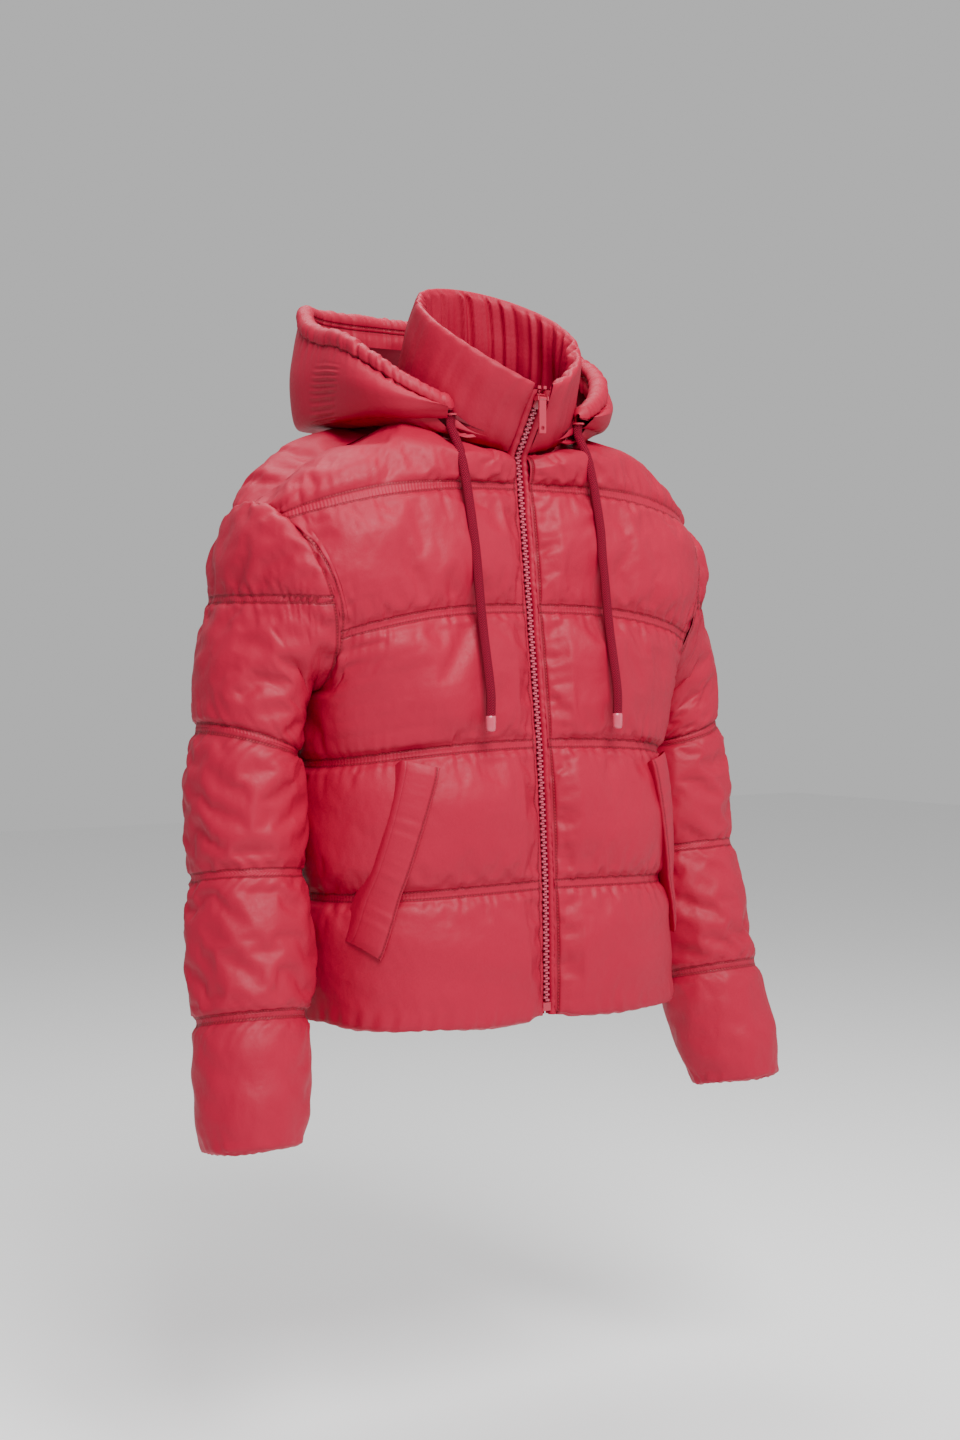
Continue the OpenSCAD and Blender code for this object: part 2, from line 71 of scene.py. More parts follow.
# Each light: name, place in millimetres, size in metres, power in watts
LIGHTS = [("key", (-500, -1900, 2300), 1.4, 135), ("fill", (1900, -1300, 700), 1.8, 10),
          ("top", (100, 500, 2100), 1.2, 34)]


def make_camera():
    """Looks at the front from the wearer's right, from near the jacket's middle height."""
    data = bpy.data.cameras.new("camera")
    data.lens, data.sensor_width, data.sensor_fit = LENS, 36, "AUTO"
    cam = bpy.data.objects.new("camera", data)
    right = np.array([math.cos(AZIMUTH), math.sin(AZIMUTH), 0])
    back = np.array([math.sin(AZIMUTH), -math.cos(AZIMUTH), 0])
    place = right * AIM_SIDE + back * DISTANCE + np.array([0, 0, CAMERA_HEIGHT])
    cam.location = row(place)
    cam.rotation_euler = (math.pi / 2 - PITCH, 0, AZIMUTH)
    bpy.context.collection.objects.link(cam)
    bpy.context.scene.camera = cam


def area_light(name, place, size, power, target=(0, 0, 300)):
    data = bpy.data.lights.new(name, "AREA")
    data.size, data.energy = size, power
    lamp = bpy.data.objects.new(name, data)
    lamp.location = row(place)
    aim = Vector(row(target)) - lamp.location
    lamp.rotation_euler = aim.to_track_quat("-Z", "Y").to_euler()
    bpy.context.collection.objects.link(lamp)


def make_stage():
    """An even studio world, three soft lights and a plain pale floor."""
    world = bpy.data.worlds.new("studio")
    world.use_nodes = True
    background = world.node_tree.nodes["Background"]
    background.inputs[0].default_value = (1, 1, 1, 1)
    background.inputs[1].default_value = WORLD_STRENGTH
    bpy.context.scene.world = world
    for light in LIGHTS:
        area_light(*light)
    bpy.ops.mesh.primitive_plane_add(size=FLOOR_SIZE, location=row((0, 0, FLOOR_Z)))
    floor = bpy.context.object
    floor.name = "floor"
    m = bpy.data.materials.new("floor")
    m.use_nodes = True
    bsdf = m.node_tree.nodes["Principled BSDF"]
    bsdf.inputs["Base Color"].default_value = (FLOOR_TONE, FLOOR_TONE, FLOOR_TONE, 1)
    bsdf.inputs["Roughness"].default_value = 0.9
    floor.data.materials.append(m)


make_camera()

# ---- Materials ----


class Shader:
    """A principled material whose nodes are made by short calls."""

    def __init__(self, name, color, roughness, **sockets):
        self.mat = bpy.data.materials.new(name)
        self.mat.use_nodes = True
        self.tree = self.mat.node_tree
        self.bsdf = self.tree.nodes["Principled BSDF"]
        self.bsdf.inputs["Base Color"].default_value = (*color, 1)
        self.bsdf.inputs["Roughness"].default_value = roughness
        for key, value in sockets.items():
            self.bsdf.inputs[key.replace("_", " ")].default_value = value

    def node(self, kind, **settings):
        n = self.tree.nodes.new("ShaderNode" + kind)
        for key, value in settings.items():
            setattr(n, key, value)
        return n

    def wire(self, value, socket):
        if hasattr(value, "is_output"):
            self.tree.links.new(value, socket)
        else:
            socket.default_value = value

    def math(self, op, *values):
        n = self.node("Math", operation=op)
        for i, value in enumerate(values):
            self.wire(value, n.inputs[i])
        return n.outputs[0]

    def noise(self, scale, detail=2.0, vector=None, rough=0.5):
        n = self.node("TexNoise")
        n.inputs["Scale"].default_value = scale
        n.inputs["Detail"].default_value = detail
        n.inputs["Roughness"].default_value = rough
        vector = vector or self.node("TexCoord").outputs["Object"]
        self.tree.links.new(vector, n.inputs["Vector"])
        return n.outputs["Fac"]

    def uv(self, name):
        """The two values of a UV layer, in millimetres."""
        n = self.node("UVMap", uv_map=name)
        split = self.node("SeparateXYZ")
        self.tree.links.new(n.outputs[0], split.inputs[0])
        return [self.math("MULTIPLY", split.outputs[i], 1000.0) for i in (0, 1)]

    def bell(self, value, centre, width):
        off = self.math("DIVIDE", self.math("SUBTRACT", value, centre), width)
        return self.math("EXPONENT", self.math("MULTIPLY", self.math("MULTIPLY", off, off), -1.0))

    def mix(self, fac, a, b):
        n = self.node("Mix", data_type="RGBA")
        self.wire(fac, n.inputs[0])
        for i, c in ((6, a), (7, b)):
            self.wire(c if hasattr(c, "is_output") else (*c, 1), n.inputs[i])
        return n.outputs[2]

    def color(self, value):
        self.wire(value, self.bsdf.inputs["Base Color"])

    def rough(self, value):
        self.wire(value, self.bsdf.inputs["Roughness"])

    def bump(self, height, distance, strength=1.0):
        n = self.node("Bump")
        n.inputs["Strength"].default_value = strength
        n.inputs["Distance"].default_value = distance
        self.tree.links.new(height, n.inputs["Height"])
        if self.bsdf.inputs["Normal"].is_linked:
            self.tree.links.new(self.bsdf.inputs["Normal"].links[0].from_socket, n.inputs["Normal"])
        self.tree.links.new(n.outputs[0], self.bsdf.inputs["Normal"])


SHELL_RED = (0.33, 0.0, 0.024)
# Painted shade for the stitch grooves along the quilt lines and seams
GROOVE_SHADE_RED = (0.10, 0.0, 0.006)
LINING_RED = (0.11, 0.0, 0.008)
CORD_RED = (0.22, 0.0, 0.02)
THREAD_RED = (0.42, 0.01, 0.03)
TAPE_RED = (0.24, 0.0, 0.016)
# Painted shade for the braid's grooves and painted highlight for its rib crests
BRAID_GROOVE_SHADE, BRAID_RIB_HIGHLIGHT = (0.05, 0.0, 0.004), (0.30, 0.0, 0.026)
STITCH, RIB = 3.0, 3.4


def stitch_height(s, along, across, centre):
    """A sewn row at |across| = centre: a groove with thread lying in it."""
    groove = s.bell(across, centre, 1.1)
    dash = s.math("SINE", s.math("MULTIPLY", along, 2 * math.pi / STITCH))
    thread = s.math("MULTIPLY", s.bell(across, centre, 0.45), s.math("GREATER_THAN", dash, -0.45))
    return s.math("SUBTRACT", s.math("MULTIPLY", thread, 0.7), groove), thread


def nylon():
    """Semi-gloss shell cloth, with stitch rows and ribs beside its quilt lines and seams."""
    s = Shader("shell nylon", SHELL_RED, 0.4, Specular_IOR_Level=0.26)
    fine = s.noise(230, 3)
    tone = s.noise(9, 2)
    tint = s.mix(tone, tuple(0.9 * c for c in SHELL_RED), tuple(1.08 * c for c in SHELL_RED))
    s.color(tint)
    s.rough(s.math("ADD", 0.46, s.math("MULTIPLY", fine, 0.2)))
    s.bump(s.noise(38, 4, rough=0.6), 0.0035, 0.28)
    s.bump(fine, 0.0005, 0.3)
    along, across = s.uv("quilt")
    low, thread = stitch_height(s, along, across, STRIP)
    ribs = s.math("MULTIPLY", s.math("SINE", s.math("MULTIPLY", along, 2 * math.pi / RIB)),
                  s.math("LESS_THAN", across, STRIP - 0.6))
    edge_along, edge = s.uv("edge")
    seam, edge_thread = stitch_height(s, edge_along, edge, SEAM)
    height = s.math("ADD", low, s.math("ADD", seam, s.math("MULTIPLY", ribs, 0.12)))
    s.bump(height, 0.0009)
    # painted shade: the shell colour darkens along the stitch grooves of quilt lines and seams
    groove_shade = s.math("ADD", s.bell(across, STRIP, 1.0), s.bell(edge, SEAM, 1.0))
    tint = s.mix(s.math("MULTIPLY", s.math("MINIMUM", groove_shade, 1.0), 0.75), tint, GROOVE_SHADE_RED)
    threads = s.math("MINIMUM", s.math("ADD", thread, edge_thread), 1.0)
    s.color(s.mix(s.math("MULTIPLY", threads, 0.45), tint, THREAD_RED))
    return s.mat


def lining():
    s = Shader("lining", LINING_RED, 0.6, Specular_IOR_Level=0.2)
    s.bump(s.noise(160, 3), 0.0006, 0.4)
    return s.mat


def tape():
    s = Shader("zip tape", TAPE_RED, 0.8, Specular_IOR_Level=0.2)
    v = s.node("TexCoord").outputs["Object"]
    split = s.node("SeparateXYZ")
    s.tree.links.new(v, split.inputs[0])
    weave = s.math("SINE", s.math("MULTIPLY", split.outputs[2], 2 * math.pi / 0.0012))
    s.bump(weave, 0.0002, 0.6)
    return s.mat


def satin(name, color, roughness, coat=0.0, metallic=0.0):
    s = Shader(name, color, roughness, Coat_Weight=coat, Coat_Roughness=0.2, Metallic=metallic)
    s.bump(s.noise(900, 2), 0.0001, 0.2)
    return s.mat


def braid():
    """Herringbone: two sets of slanted ribs that meet along the cord's middle."""
    s = Shader("cord braid", CORD_RED, 0.75, Specular_IOR_Level=0.15)
    along, around = s.uv("quilt")
    turn = s.math("FRACT", s.math("MULTIPLY", around, 0.125))
    fold = s.math("ABSOLUTE", s.math("SUBTRACT", turn, 0.5))
    phase = s.math("ADD", s.math("MULTIPLY", along, 0.42), s.math("MULTIPLY", fold, 3.4))
    rib = s.math("SINE", s.math("MULTIPLY", phase, 2 * math.pi))
    s.bump(rib, 0.0005, 0.8)
    # painted shade in the grooves and painted highlight on the crests, following the rib bump
    rib_light_and_shade = s.math("ADD", 0.5, s.math("MULTIPLY", rib, 0.5))
    s.color(s.mix(rib_light_and_shade, BRAID_GROOVE_SHADE, BRAID_RIB_HIGHLIGHT))
    return s.mat


NYLON, LINING, TAPE, BRAID = nylon(), lining(), tape(), braid()
TIP = satin("cord tip", (0.48, 0.05, 0.09), 0.32, coat=0.3)
TOOTH = satin("zip teeth", (0.42, 0.045, 0.085), 0.35, coat=0.2)
PAINT = satin("zip paint", (0.36, 0.01, 0.035), 0.35, coat=0.3)

# ---- Number helpers ----


def lerp(a, b, t):
    return a + (b - a) * t


def smooth(a, b, x):
    t = np.clip((x - a) / (b - a), 0, 1)
    return t * t * (3 - 2 * t)


def wander(x, wavelength, seed, octaves=2):
    """Smooth 1-D noise of that mean wavelength, from -1 to 1."""
    rng = np.random.default_rng(seed)
    total = np.zeros_like(x, dtype=float)
    for k in range(octaves):
        for _ in range(5):
            f = 2 * math.pi / (wavelength / (1.6 ** k)) * rng.uniform(0.7, 1.35)
            total += np.sin(f * x + rng.uniform(0, 2 * math.pi)) / (1.5 ** k)
    return total / 4.2


def field(p, wavelength, seed, stretch=(1, 1, 1)):
    """Smooth 3-D noise at points p in millimetres, from about -1 to 1."""
    rng = np.random.default_rng(seed)
    total = np.zeros(p.shape[:-1])
    for _ in range(14):
        d = rng.normal(size=3)
        d /= np.linalg.norm(d)
        k = d * 2 * math.pi / wavelength * rng.uniform(0.6, 1.5) / np.array(stretch)
        total += np.sin(p @ k + rng.uniform(0, 2 * math.pi))
    return total / 4.5


def normals(g, closed=False):
    """Unit normals of a grid of points: columns cross rows."""
    if closed:
        across = np.roll(g, -1, 1) - np.roll(g, 1, 1)
    else:
        across = np.gradient(g, axis=1)
    c = np.cross(across, np.gradient(g, axis=0))
    return c / np.maximum(np.linalg.norm(c, axis=-1, keepdims=True), 1e-9)


def finer(g, axis, closed=False):
    """Doubles a grid along one axis with a smooth curve through its points."""
    g = np.moveaxis(g, axis, 0)
    if closed:
        before, after, after2 = np.roll(g, 1, 0), np.roll(g, -1, 0), np.roll(g, -2, 0)
        mid = (9 * (g + after) - before - after2) / 16
        out = np.empty((2 * len(g),) + g.shape[1:])
        out[0::2], out[1::2] = g, mid
    else:
        pad = np.concatenate([2 * g[:1] - g[1:2], g, 2 * g[-1:] - g[-2:-1]])
        mid = (9 * (pad[1:-2] + pad[2:-1]) - pad[:-3] - pad[3:]) / 16
        out = np.empty((2 * len(g) - 1,) + g.shape[1:])
        out[0::2], out[1::2] = g, mid
    return np.moveaxis(out, 0, axis)


def even(points, count):
    """Parameters from 0 to 1 that step evenly along a curve sampled at even parameters."""
    run = run_length(points)
    return np.interp(np.linspace(0, run[-1], count), run, np.linspace(0, 1, len(points)))


def steps(knots, step):
    """Rows from one knot to the next with near-even steps, each knot on a row."""
    out = [knots[0]]
    for a, b in zip(knots[:-1], knots[1:]):
        n = max(1, round((b - a) / step))
        out += list(lerp(a, b, (np.arange(n) + 1) / n))
    return np.array(out)


def run_length(points):
    """Length along a line of points, from 0 at the first."""
    return np.cumsum(np.concatenate([[0], np.linalg.norm(np.diff(points, axis=0), axis=1)]))


# ---- Meshes from grids ----


def grid_faces(rows, cols, closed):
    i, j = np.meshgrid(np.arange(rows - 1), np.arange(cols if closed else cols - 1), indexing="ij")
    k = (j + 1) % cols
    quads = np.stack([i * cols + j, i * cols + k, (i + 1) * cols + k, (i + 1) * cols + j], -1)
    return quads.reshape(-1, 4)


def uv_layer(mesh, name, values):
    layer = mesh.uv_layers.new(name=name)
    index = np.empty(len(mesh.loops), int)
    mesh.loops.foreach_get("vertex_index", index)
    layer.data.foreach_set("uv", values.reshape(-1, 2)[index].astype(np.float32).ravel())


def grid_object(name, g, material, closed=False, layers=None, flip=False):
    """g is a grid of points in millimetres on the garment."""
    rows, cols = g.shape[:2]
    faces = grid_faces(rows, cols, closed)
    if flip:
        faces = faces[:, ::-1]
    mesh = bpy.data.meshes.new(name)
    mesh.from_pydata(row(g.reshape(-1, 3)).tolist(), [], faces.tolist())
    for key, value in (layers or {}).items():
        uv_layer(mesh, key, value / 1000)
    mesh.polygons.foreach_set("use_smooth", np.ones(len(mesh.polygons), bool))
    mesh.materials.append(material)
    obj = bpy.data.objects.new(name, mesh)
    bpy.context.collection.objects.link(obj)
    return obj


def unsewn(shape, along):
    """UV layers for cloth with no stitching: every point is far from a row."""
    z = np.zeros(shape[:2])
    return {"quilt": np.stack([z + along, UNSEWN + z], -1),
            "edge": np.stack([z + 1, UNSEWN + z], -1)}


# ---- Cloth ----


def drape(panels, frames=16):
    """Lets every panel buckle between its seams: the cloth grows a little and air fills it."""
    made = []
    for p in panels:
        obj = grid_object("cloth_" + p["name"], p["grid"], NYLON, p["closed"], flip=p["out"] < 0)
        pins = obj.vertex_groups.new(name="pins")
        weights = p["pins"].ravel()
        for level in np.unique(weights):
            if level > 0:
                pins.add(np.nonzero(weights == level)[0].tolist(), float(level), "REPLACE")
        cloth = obj.modifiers.new("cloth", "CLOTH").settings
        cloth.vertex_group_mass = "pins"
        cloth.quality = 6
        cloth.mass = 0.12
        cloth.tension_stiffness = cloth.compression_stiffness = 18
        cloth.shear_stiffness = 6
        cloth.bending_stiffness = BENDING
        cloth.tension_damping = cloth.compression_damping = 8
        cloth.bending_damping = 1.0
        cloth.air_damping = 6
        cloth.shrink_min = -p["growth"]
        cloth.use_pressure = True
        cloth.uniform_pressure_force = p["pressure"]
        cloth.effector_weights.gravity = 0
        made.append((p, obj))
    scene = bpy.context.scene
    for f in range(1, frames + 1):
        scene.frame_set(f)
    depsgraph = bpy.context.evaluated_depsgraph_get()
    for p, obj in made:
        mesh = obj.evaluated_get(depsgraph).to_mesh()
        co = np.empty(len(mesh.vertices) * 3)
        mesh.vertices.foreach_get("co", co)
        moved = co.reshape(p["grid"].shape) * 1000 + LOOP - p["grid"]
        size = np.linalg.norm(moved, axis=-1, keepdims=True)
        p["grid"] = p["grid"] + moved * np.minimum(1, CAP / np.maximum(size, 1e-6))
        obj.evaluated_get(depsgraph).to_mesh_clear()
        bpy.data.objects.remove(obj)
    scene.frame_set(1)


def puff(d, reach, height):
    """The swell beside a quilt line at distance d, for a row of padding 2 x reach wide."""
    t = np.clip((d - STRIP) / (reach - STRIP), 0, 1)
    return height * np.sqrt(1 - (1 - t) ** 2.2)


def finish_panel(p):
    """Doubles the cloth's grid, then adds the sewn strips and the puckers beside them."""
    g, closed = p["grid"], p["closed"]
    fields = {k: p[k] for k in ("line", "along", "edge", "edge_along")}
    fields["calm"] = p.get("calm", p["edge"] + 100)
    for axis in (0, 1):
        wrap = closed and axis == 1
        g = finer(g, axis, wrap)
        for k in fields:
            if wrap:
                twice = np.repeat(fields[k], 2, axis)
                fields[k] = twice * 0.5 + np.roll(twice, -1, axis) * 0.5
            else:
                fields[k] = finer(fields[k], axis)
    d, s = np.abs(fields["line"]), fields["along"]
    e, t = np.abs(fields["edge"]), fields["edge_along"]
    n = normals(g, closed) * p["out"]
    seed = p["seed"]
    near = np.exp(-np.clip(d - STRIP, 0, None) / 11)
    pucker = wander(s + 3 * wander(d, 60, seed + 5), 15, seed) * near
    pucker *= smooth(0.5, 7, d) * PUCKER
    side = wander(t + 3 * wander(e, 60, seed + 6), 14, seed + 1) * np.exp(-e / 10) * smooth(0, 6, e)
    strip = 1.3 * np.exp(-(d / 2.7) ** 4)
    drag = field(g, 70, seed + 2, (1.6, 1, 0.8)) * 1.3 * smooth(4, 30, d) * smooth(2, 25, e)
    at_fold = np.exp(-np.abs(g[..., 2] - p["fold_z"]) / 9)
    fold = wander(s + 4 * np.sin(g[..., 2] / 9), 19, seed + 3) * 1.3 * at_fold
    loose = pucker + side * PUCKER + drag + fold
    lift = strip + loose * smooth(0, 10, fields["calm"])
    g = g + n * lift[..., None]
    layers = {"quilt": np.stack([s, d], -1), "edge": np.stack([t, e], -1)}
    return grid_object(p["name"], g, NYLON, closed, layers, p["out"] < 0)


# ---- Torso ----

ZIP_KNOTS = ([16, 63, 127, 194, 261, 325, 390, 450, 500, 538, 600],
             [127, 126.5, 125, 120.5, 115, 107, 99, 91.5, 85, 80, 119])
ARM_C, ARM_UP, ARM_OUT = np.array([224.0, 0, 397]), np.array([24.0, 5, 87]), (11.0, 92.0)


def zip_y(z):
    return -np.interp(z, *ZIP_KNOTS)


def side_point(z, way):
    """Where the front (way 1) or back (-1) meets the side seam or the armhole."""
    z = np.asarray(z, float)
    c = np.clip((z - ARM_C[2]) / ARM_UP[2], -1, 1)
    s = np.sqrt(1 - c * c)
    low = np.stack([HALF_W + 4 * z / UNDERARM_Z, 0 * z, z], -1)
    high = np.stack([ARM_C[0] + ARM_UP[0] * c - ARM_OUT[0] * s,
                     ARM_UP[1] * c - ARM_OUT[1] * s * way, z], -1)
    return np.where((z <= UNDERARM_Z)[..., None], low, high)


def body_point(t, z, way):
    """The quilt lines' own surface, from the centre line t = 0 to the side t = 1."""
    t, z = np.broadcast_arrays(np.asarray(t, float), np.asarray(z, float))
    top = FRONT_YOKE_Z if way > 0 else BACK_YOKE_Z
    z_side = z * YOKE_SIDE_Z / top
    around = [side_point(z_side + k, way) for k in (-40, -25, -12, 0, 12, 25, 40)]
    s = lerp(np.mean(around, 0), side_point(z_side, way), smooth(0.7, 1, t)[..., None])
    if way > 0:
        depth = np.interp(z, [0, 127, 261, 390, 538], [127, 125, 115, 99, 80])
        gap = 8.0
        push = BULGE * np.sin(math.pi * np.minimum(1, 1.1 * t + 0.12))
    else:
        depth = np.interp(z, [0, 261, 390, 500], [98, 102, 100, 80])
        gap = 0.0
        push = 0.6 * BULGE * np.sin(math.pi * np.minimum(1, 1.1 * t + 0.12))
    a = np.clip(t, 0, 1) * math.pi / 2
    x = gap + (s[..., 0] - gap) * np.sin(a) ** (2 / POWER)
    y = s[..., 1] + way * (-depth - way * s[..., 1]) * np.cos(a) ** (2 / POWER) - way * push
    return np.stack([x, y, lerp(z, z_side, t * t * (3 - 2 * t))], -1)


NECK_SIDE, NECK_BACK = np.array([86.0, 2, 572]), np.array([0.0, 52, 578])
NECK_T = 0.4


def shoulder_line(t, way):
    """The top edge of a yoke: the neck seam, then the shoulder seam."""
    t = np.asarray(t, float)[..., None]
    start = np.array([8.0, zip_y(NECK_Z), NECK_Z]) if way > 0 else NECK_BACK
    a = np.clip(t / NECK_T, 0, 1) * math.pi / 2
    neck = np.concatenate([lerp(start[0], NECK_SIDE[0], np.sin(a)),
                           lerp(NECK_SIDE[1], start[1], np.cos(a)),
                           lerp(start[2], NECK_SIDE[2], 1 - np.cos(a))], -1)
    u = np.clip((t - NECK_T) / (1 - NECK_T), 0, 1)
    rise = np.array([0, 0, 6.0]) * np.sin(math.pi * (t - NECK_T))
    seam = lerp(NECK_SIDE, ARM_C + ARM_UP, u) + rise
    return np.where(t < NECK_T, neck, seam)


def torso_panel(name, way, side, seed):
    """A front or back shell from the hem to the shoulder, with its quilt lines."""
    top = FRONT_YOKE_Z if way > 0 else BACK_YOKE_Z
    curve = body_point(np.linspace(0, 1, 400), 200.0, way)
    cols = even(curve, 62)
    z_rows = steps([HEM_Z] + QUILT_Z[1:] + [top], 5.2)
    body = body_point(cols[None, :], z_rows[:, None], way)
    v = np.linspace(0, 1, 17)[1:]
    low, high = body[-1], shoulder_line(cols, way)
    full = 8 + (14 if way > 0 else 30) * np.sin(math.pi * cols)
    bow = np.sin(math.pi * v)[:, None] * (full * smooth(1.0, 0.88, cols))[None, :]
    yoke = lerp(low[None], high[None], v[:, None, None])
    yoke = yoke + bow[..., None] * np.array([0, -0.7 * way, 0.7])
    edge = side_point(lerp(YOKE_SIDE_Z, ARM_C[2] + ARM_UP[2], v), way)
    edge = edge - lerp(low[-1], high[-1], v[:, None])
    yoke = yoke + edge[:, None] * smooth(0.75, 1.0, cols)[None, :, None]
    curl = np.array([(-1.5, 2.5), (-3.5, 5.5), (-4.5, 10), (-3.5, 15), (0, 20), (10, 23), (20, 24)])
    hem_n = normals(body)[0] * way
    hem = [body[0] - hem_n * c[1] + np.array([0, 0, c[0]]) for c in curl[::-1]]
    g = np.concatenate([np.array(hem), body, yoke])
    rows = len(g)
    # distance to the nearest quilt line, and the width of the row of padding there
    z_all = np.concatenate([np.full(len(curl), HEM_Z - 2), z_rows, top + v * 62])
    lines = np.array(QUILT_Z[1:] + [top])
    dist = np.min(np.abs(z_all[:, None] - lines[None]), 1)
    lows = [-24.0] + list(lines)
    highs = list(lines) + [top + 120]
    reach = np.array([next((b - a) / 2 for a, b in zip(lows, highs) if a <= z <= b) for z in z_all])
    d = np.broadcast_to(dist[:, None], g.shape[:2]).copy()
    across = np.cumsum(np.linalg.norm(np.diff(g, axis=1), axis=-1), 1)
    arc = np.concatenate([np.zeros((rows, 1)), across], 1)
    edge_mid, edge_side = arc, arc[:, -1:] - arc
    e = np.minimum(edge_mid if way > 0 else 1e3, edge_side)
    swell = puff(d, reach[:, None], TORSO_PUFF)
    swell *= 0.35 + 0.65 * np.sqrt(np.clip(edge_side / 50, 0, 1))
    if way > 0:
        swell *= np.sqrt(np.clip(edge_mid / 26, 0, 1))
    top_fade = np.concatenate([np.ones(len(curl) + len(z_rows)), 1 - 0.75 * v ** 1.5])
    swell *= top_fade[:, None]
    swell[: len(curl)] *= np.linspace(0.1, 1, len(curl))[:, None]
    n = normals(g) * way
    n[: len(curl)] = n[len(curl)]
    meet = (smooth(0.88, 1.0, cols)[None, :] * (z_all < 385)[:, None])[..., None]
    n = lerp(n, np.array([1.0, 0, 0]), meet)
    if way < 0:
        n[:, 0, 0] = 0
    n /= np.linalg.norm(n, axis=-1, keepdims=True)
    inner = smooth(0, 40, edge_side) * (smooth(0, 40, edge_mid) if way < 0 else 1)
    swell = swell * (1 + 0.16 * inner * field(g * [side, 1, 1], 110, seed))
    ripple = field(g * [side, 1, 1], 34, seed + 9) * 0.4 * smooth(3, 20, d) * inner
    g = g + n * (swell + ripple)[..., None]
    edge_along = np.broadcast_to(z_all[:, None], d.shape).copy()
    pins = (d < STRIP + 1.8) * 1.0
    pins[:, -1] = 1
    pins[-1] = pins[0] = 1
    pins[:, 0] = 1
    return {"name": name, "grid": g * np.array([side, 1, 1]), "closed": False, "line": d,
            "along": arc, "edge": e if way > 0 else edge_side, "edge_along": edge_along,
            "calm": np.minimum(edge_mid, edge_side),
            "pins": pins, "seed": seed, "growth": 0.022, "pressure": 1.0, "out": side * way,
            "fold_z": HEM_Z}


# ---- Sleeves ----

# Each ring: x and z of the inner point, x and z of the outer point, middle y, half depth
RINGS = np.array([
    [206, 310, 251, 485, 4, 91], [207, 299, 264, 450, 8, 83], [208, 287, 275, 400, 9, 73],
    [209, 274, 288, 345, 5, 66], [210, 257, 299, 290, -1, 61], [210, 235, 307, 250, -5, 59],
    [210, 212, 311, 212, -8, 56], [211, 146, 315, 150, -15, 54], [212, 80, 321, 84, -28, 53],
    [221, 20, 327, 24, -42, 52], [232, -40, 331, -37, -58, 48], [245, -97, 334, -94, -73, 44]])
RING_LEAN = np.array([0, 0, 0, 0, 0, 0, 3, 8, 11, 12, 12, 12.0])
SEAM_W, SPLIT, CUFF_Z = -0.4, 4.25, -97.0


def ring_points(w, angles):
    """Points of the sleeve at ring parameters w and angles from the outer line."""
    k = np.arange(len(RINGS))
    r = np.stack([np.interp(w, k, RINGS[:, c]) for c in range(6)], -1)
    lean = np.radians(np.interp(w, k, RING_LEAN))
    inner = np.stack([r[:, 0], r[:, 4], r[:, 1]], -1)
    outer = np.stack([r[:, 2], r[:, 4], r[:, 3]], -1)
    up = (outer - inner) / 2
    front = np.stack([0 * lean, -r[:, 5] * np.cos(lean), r[:, 5] * np.sin(lean)], -1)
    c, s = np.cos(angles)[None, :, None], np.sin(angles)[None, :, None]
    ring = ((inner + outer) / 2)[:, None] + c * up[:, None] + s * front[:, None]
    seam = ARM_C + c * ARM_UP - np.concatenate([ARM_OUT[0] * np.abs(s), ARM_OUT[1] * s, 0 * s], -1)
    return lerp(seam, ring, smooth(SEAM_W, 0.35, w)[:, None, None])


def sleeve_panel(name, side, w0, w1, seed, lower):
    """Half a sleeve between ring parameters w0 and w1; the lower half ends in a rolled cuff."""
    angles = np.linspace(math.pi, 3 * math.pi, 72, endpoint=False)
    fine = np.linspace(w0, w1, 300)
    outer = ring_points(fine, np.array([0.0, math.pi / 2]))
    t = even(outer.mean(1), 62 if lower else 44)
    w = lerp(w0, w1, t)
    g = ring_points(w, angles)
    if lower:
        lines = np.interp([272, 146, 20], outer.mean(1)[::-1, 2], fine[::-1])
        length = run_length(ring_points(w, angles).mean(1))
        at_line = np.interp(lines, w, length)
        dist = np.min(np.abs(length[:, None] - at_line[None]), 1)
        d = np.broadcast_to(dist[:, None], g.shape[:2]).copy()
        reach = 63.0
        e = np.full_like(d, 500.0)
    else:
        zl = 398.0 + 0.04 * g[..., 0] - 11
        length = run_length(g.mean(1))
        to_seam = length[-1] - length
        d = np.minimum(np.abs(g[..., 2] - zl), to_seam[:, None])
        reach = 62.0
        e = np.broadcast_to(length[:, None], d.shape).copy() * 1.1
    swell = puff(d, reach, SLEEVE_PUFF) - 3
    if lower:
        swell *= smooth(0, 30, length[-1] - length)[:, None]
    else:
        swell = lerp(3.5, swell, np.sqrt(np.clip(e / 40, 0, 1)))
    n = normals(g, True)
    swell = swell * (1 + 0.2 * field(g, 100, seed))
    ripple = field(g, 30, seed + 9) * 0.8 * smooth(3, 20, d)
    g = g + n * swell[..., None] + n * ripple[..., None]
    if lower:
        curl = [(1.5, 2), (3.5, 5), (4.5, 9), (3, 14), (-4, 18), (-14, 20), (-30, 21)]
        last, tip_n = g[-1], n[-1]
        down = g[-1] - g[-2]
        down /= np.linalg.norm(down, axis=-1, keepdims=True)
        extra = np.array([last - tip_n * c[1] + down * c[0] for c in curl])
        g = np.concatenate([g, extra])
        far = np.full((len(curl), d.shape[1]), 60.0)
        d, e = np.concatenate([d, far]), np.concatenate([e, far * 8])
    around = np.linalg.norm(np.roll(g, -1, 1) - g, axis=-1)
    arc = np.concatenate([np.zeros((len(g), 1)), np.cumsum(around, 1)[:, :-1]], 1)
    pins = (d < STRIP + 2.0) * 1.0
    pins[0] = pins[-1] = 1
    g = g * np.array([side, 1, 1])
    return {"name": name, "grid": g, "closed": True, "line": d, "along": arc, "edge": e,
            "edge_along": arc, "pins": pins, "seed": seed, "growth": 0.03, "pressure": 0.8,
            "out": side, "fold_z": CUFF_Z if lower else 1e4}


# ---- Collar ----

COLLAR_OPEN = 8.0


